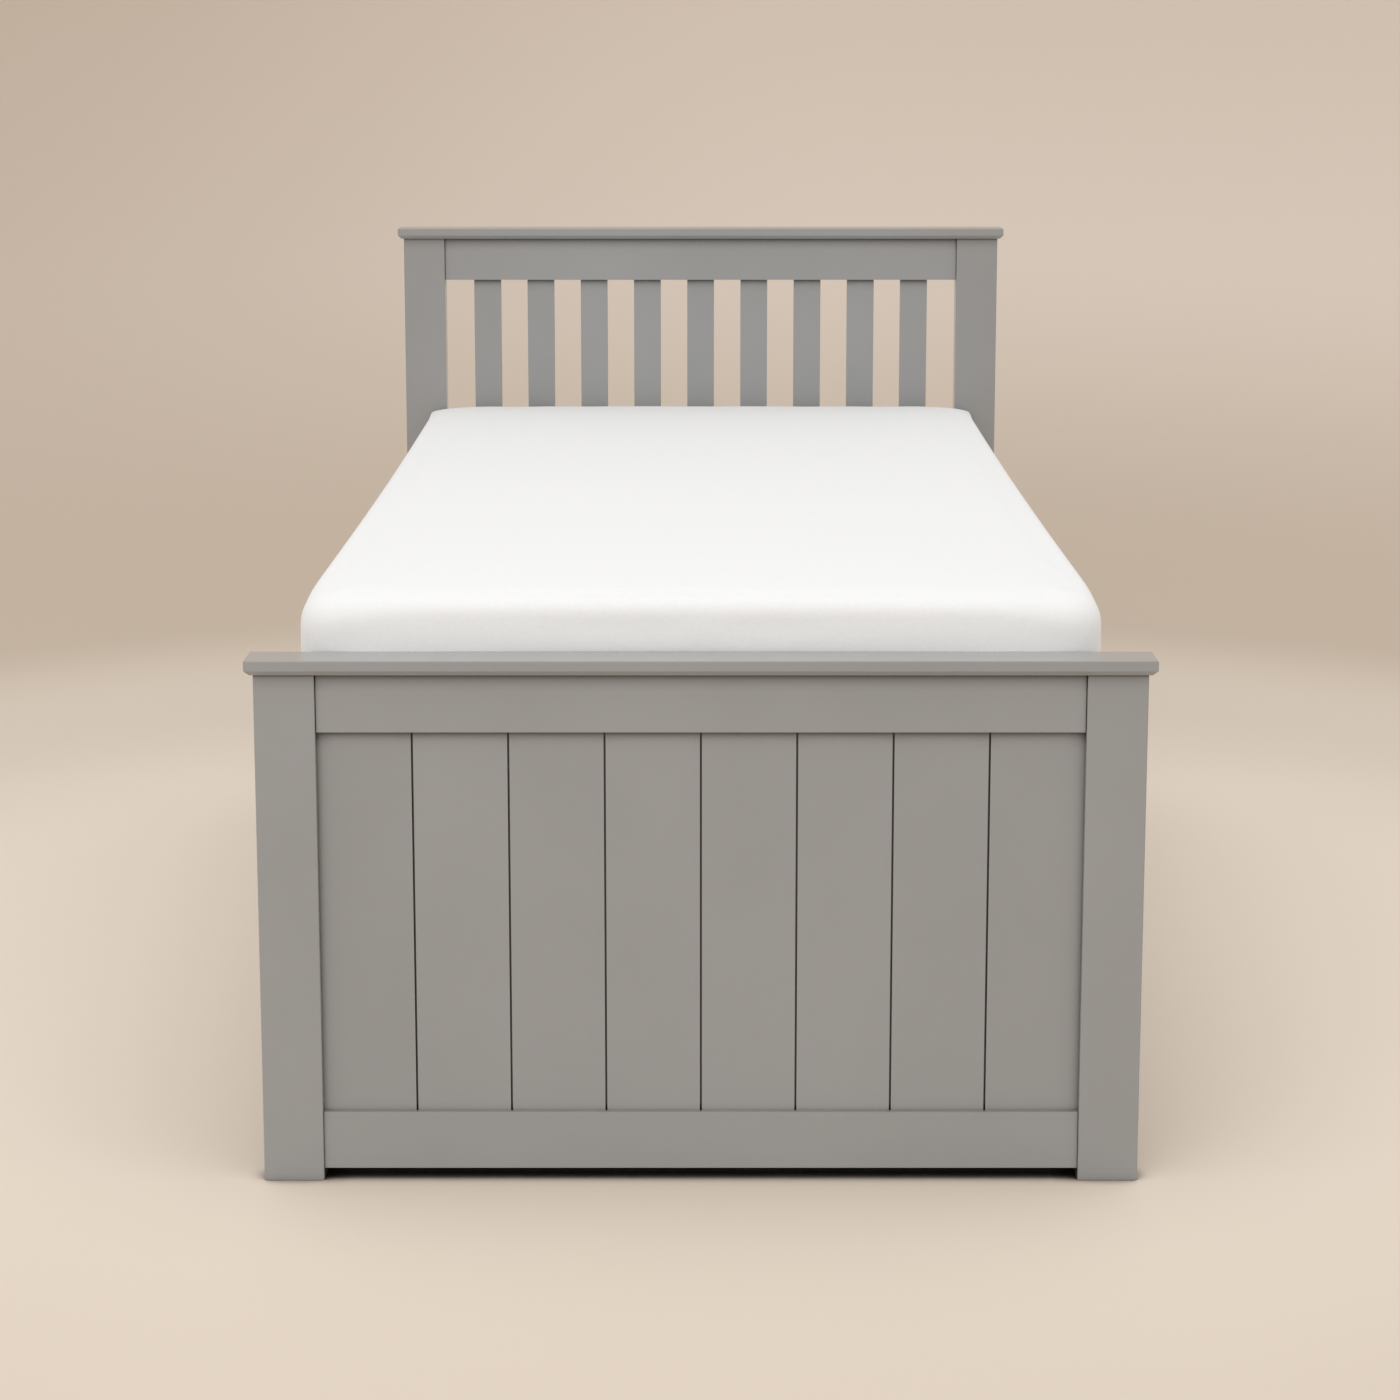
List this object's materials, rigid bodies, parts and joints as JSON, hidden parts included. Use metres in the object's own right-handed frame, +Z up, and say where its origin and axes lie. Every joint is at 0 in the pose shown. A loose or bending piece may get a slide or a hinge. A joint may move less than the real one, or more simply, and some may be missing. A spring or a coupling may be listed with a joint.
{
  "type": "captains bed",
  "caption": "Captain's bed in satin grey paint: boarded footboard, slatted headboard, mattress on a slat roll, and a chest of drawers with turned knobs below.",
  "frame": {"origin": "on the floor, at the middle of the bed's footprint", "axes": "+Z up, +Y towards the headboard, +X towards the side that the drawers open on"},
  "size_m": [1.003, 2.018, 0.9521],
  "materials": {
    "grey_paint": "satin grey paint on wood",
    "bare_pine": "planed softwood, clear matt lacquer",
    "mattress_cover": "smooth white cotton sheet, matt"
  },
  "bodies": {
    "bed_frame": {"footboard_left_post": "grey_paint", "footboard_right_post": "grey_paint", "footboard_cap_rail": "grey_paint", "footboard_top_rail": "grey_paint", "footboard_bottom_rail": "grey_paint", "footboard_plank_1": "grey_paint", "footboard_plank_2": "grey_paint", "footboard_plank_3": "grey_paint", "footboard_plank_4": "grey_paint", "footboard_plank_5": "grey_paint", "footboard_plank_6": "grey_paint", "footboard_plank_7": "grey_paint", "footboard_plank_8": "grey_paint", "headboard_left_post": "grey_paint", "headboard_right_post": "grey_paint", "headboard_cap_rail": "grey_paint", "headboard_top_rail": "grey_paint", "headboard_lower_rail": "grey_paint", "headboard_bottom_rail": "grey_paint", "headboard_lower_panel": "grey_paint", "headboard_slat_1": "grey_paint", "headboard_slat_2": "grey_paint", "headboard_slat_3": "grey_paint", "headboard_slat_4": "grey_paint", "headboard_slat_5": "grey_paint", "headboard_slat_6": "grey_paint", "headboard_slat_7": "grey_paint", "headboard_slat_8": "grey_paint", "headboard_slat_9": "grey_paint", "right_side_rail": "grey_paint", "left_side_rail": "grey_paint", "right_base_rail": "grey_paint", "left_base_rail": "grey_paint", "left_side_panel": "grey_paint", "left_slat_ledger": "bare_pine", "right_slat_ledger": "bare_pine", "bed_slat_roll": "bare_pine", "mattress": "mattress_cover", "chest_foot_end": "grey_paint", "chest_foot_divider": "grey_paint", "chest_head_divider": "grey_paint", "chest_head_end": "grey_paint"},
    "drawer_lower_foot": {"drawer_lower_foot_front": "grey_paint", "drawer_lower_foot_box": "bare_pine", "drawer_lower_foot_knob": "grey_paint"},
    "drawer_lower_middle": {"drawer_lower_middle_front": "grey_paint", "drawer_lower_middle_box": "bare_pine", "drawer_lower_middle_knob": "grey_paint"},
    "drawer_lower_head": {"drawer_lower_head_front": "grey_paint", "drawer_lower_head_box": "bare_pine", "drawer_lower_head_knob": "grey_paint"},
    "drawer_upper_foot": {"drawer_upper_foot_front": "grey_paint", "drawer_upper_foot_box": "bare_pine", "drawer_upper_foot_knob": "grey_paint"},
    "drawer_upper_middle": {"drawer_upper_middle_front": "grey_paint", "drawer_upper_middle_box": "bare_pine", "drawer_upper_middle_knob": "grey_paint"},
    "drawer_upper_head": {"drawer_upper_head_front": "grey_paint", "drawer_upper_head_box": "bare_pine", "drawer_upper_head_knob": "grey_paint"}
  },
  "joints": [
    {"name": "drawer_lower_foot_slide", "type": "slide", "parent": "bed_frame", "child": "drawer_lower_foot", "axis": [1, 0, 0], "range_m": [0, 0.4]},
    {"name": "drawer_lower_middle_slide", "type": "slide", "parent": "bed_frame", "child": "drawer_lower_middle", "axis": [1, 0, 0], "range_m": [0, 0.4]},
    {"name": "drawer_lower_head_slide", "type": "slide", "parent": "bed_frame", "child": "drawer_lower_head", "axis": [1, 0, 0], "range_m": [0, 0.4]},
    {"name": "drawer_upper_foot_slide", "type": "slide", "parent": "bed_frame", "child": "drawer_upper_foot", "axis": [1, 0, 0], "range_m": [0, 0.4]},
    {"name": "drawer_upper_middle_slide", "type": "slide", "parent": "bed_frame", "child": "drawer_upper_middle", "axis": [1, 0, 0], "range_m": [0, 0.4]},
    {"name": "drawer_upper_head_slide", "type": "slide", "parent": "bed_frame", "child": "drawer_upper_head", "axis": [1, 0, 0], "range_m": [0, 0.4]}
  ]
}
